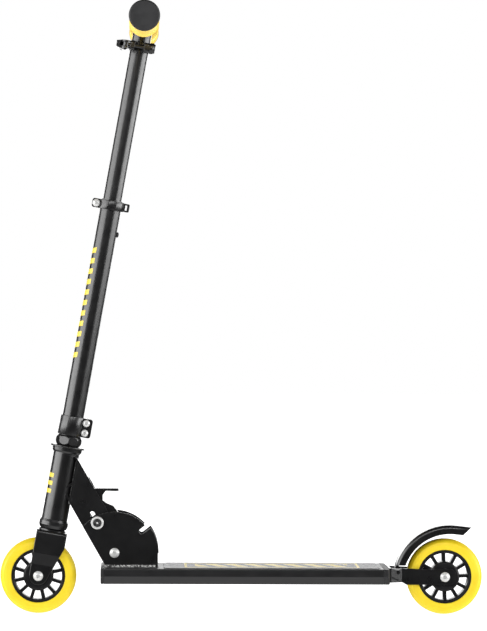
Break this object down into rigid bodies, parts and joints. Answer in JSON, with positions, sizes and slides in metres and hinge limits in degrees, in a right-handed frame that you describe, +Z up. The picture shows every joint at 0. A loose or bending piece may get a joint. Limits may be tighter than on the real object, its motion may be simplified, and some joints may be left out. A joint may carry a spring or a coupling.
{
  "type": "folding kick scooter",
  "caption": "Folding kick scooter with a flat deck, spoked wheels, height-adjustable T-bar, latched fold joint and rear fender brake.",
  "frame": {"origin": "on the ground, midway between the two wheels' outer ends, in the middle plane", "axes": "+X from the front wheel to the rear wheel, +Y to the rider's right, +Z up"},
  "size_m": [0.635, 0.33, 0.795],
  "materials": {
    "gloss_black": "glossy black powder coat",
    "deck_black": "satin black paint on aluminium",
    "grip_tape": "coarse grit tape with a printed pattern",
    "cap_black": "moulded matte black plastic",
    "core_black": "moulded black nylon",
    "tyre_yellow": "cast polyurethane, satin",
    "grip_yellow": "soft moulded rubber",
    "steel": "zinc plated steel",
    "bearing_steel": "ground steel",
    "spring_steel": "oiled spring wire"
  },
  "bodies": {
    "deck": {"deck_board": "deck_black", "deck_front_cap": "cap_black", "deck_rear_cap": "cap_black", "grip_tape": "grip_tape", "sector_plates": "gloss_black", "sector_welds": "gloss_black", "pivot_bolt": "steel", "pivot_nut": "steel", "rear_bracket": "gloss_black", "bracket_bolts": "steel", "rear_axle_bolt": "steel", "rear_axle_nut": "steel", "rear_axle_spacers": "steel", "brake_pin": "gloss_black"},
    "brake": {"brake_fender": "gloss_black", "brake_spring": "spring_steel"},
    "rear_wheel": {"rear_tyre": "tyre_yellow", "rear_wheel_core": "core_black", "rear_bearings": "bearing_steel", "rear_bearing_spacer": "bearing_steel"},
    "front_wheel": {"front_tyre": "tyre_yellow", "front_wheel_core": "core_black", "front_bearings": "bearing_steel", "front_bearing_spacer": "bearing_steel"},
    "neck": {"head_tube": "gloss_black", "neck_plates": "gloss_black", "neck_webs": "gloss_black", "pivot_tube": "gloss_black", "upper_cup": "gloss_black", "lower_cup": "gloss_black", "headset_bearings": "bearing_steel", "lock_spring": "spring_steel"},
    "lock": {"release_latch": "gloss_black", "lock_pin": "steel", "lock_rings": "steel"},
    "steering": {"fork": "gloss_black", "steerer_tube": "gloss_black", "crown_race": "gloss_black", "upper_race": "bearing_steel", "disc_washer": "gloss_black", "locknut": "gloss_black", "lower_stem": "gloss_black", "stem_clamp": "gloss_black", "stem_clamp_bolts": "steel", "mid_collar": "gloss_black", "mid_collar_bolt": "steel", "front_axle_bolt": "steel", "front_axle_nut": "steel", "front_axle_spacers": "steel"},
    "snap_button": {"snap_button": "cap_black"},
    "upper_stem": {"upper_stem": "gloss_black", "stem_plug": "cap_black", "button_spring": "spring_steel", "qr_clamp": "gloss_black", "qr_skewer": "gloss_black"},
    "qr_lever": {"qr_lever": "gloss_black"},
    "bar": {"handlebar": "gloss_black", "grip_left": "grip_yellow", "grip_right": "grip_yellow", "end_caps": "cap_black"}
  },
  "joints": [
    {"name": "fold", "type": "hinge", "parent": "deck", "child": "neck", "pos_m": [-0.1675, 0, 0.081], "axis": [0, 1, 0], "range_deg": [0, 81.4]},
    {"name": "lock_slide", "type": "slide", "parent": "neck", "child": "lock", "axis": [-0.5, 0, 0.866], "range_m": [0, 0.0134], "stiffness_N_per_m": 600, "springref_m": -0.01, "deforming": ["lock_spring"]},
    {"name": "steer", "type": "hinge", "parent": "neck", "child": "steering", "pos_m": [-0.26011, 0, 0.0487], "axis": [0.1736, 0, 0.9848], "continuous": true},
    {"name": "front_wheel_spin", "type": "hinge", "parent": "steering", "child": "front_wheel", "pos_m": [-0.2675, 0, 0.05], "axis": [0, 1, 0], "continuous": true},
    {"name": "stem_slide", "type": "slide", "parent": "steering", "child": "upper_stem", "axis": [0.1736, 0, 0.9848], "range_m": [-0.15, 0]},
    {"name": "snap_button_press", "type": "slide", "parent": "steering", "child": "snap_button", "axis": [-0.9848, 0, 0.1736], "range_m": [0, 0.0033], "stiffness_N_per_m": 500, "springref_m": -0.004, "deforming": ["button_spring"]},
    {"name": "bar_slide", "type": "slide", "parent": "upper_stem", "child": "bar", "axis": [0.1736, 0, 0.9848], "range_m": [0, 0.12]},
    {"name": "qr_lever_swing", "type": "hinge", "parent": "upper_stem", "child": "qr_lever", "pos_m": [-0.15571, -0.019, 0.74789], "axis": [0.1736, 0, 0.9848], "range_deg": [0, 110]},
    {"name": "rear_wheel_spin", "type": "hinge", "parent": "deck", "child": "rear_wheel", "pos_m": [0.2675, 0, 0.05], "axis": [0, 1, 0], "continuous": true},
    {"name": "brake_press", "type": "hinge", "parent": "deck", "child": "brake", "pos_m": [0.2055, 0, 0.056], "axis": [0, 1, 0], "range_deg": [0, 12.5], "stiffness_Nm_per_rad": 2, "springref_deg": -17.19, "deforming": ["brake_spring"]}
  ]
}
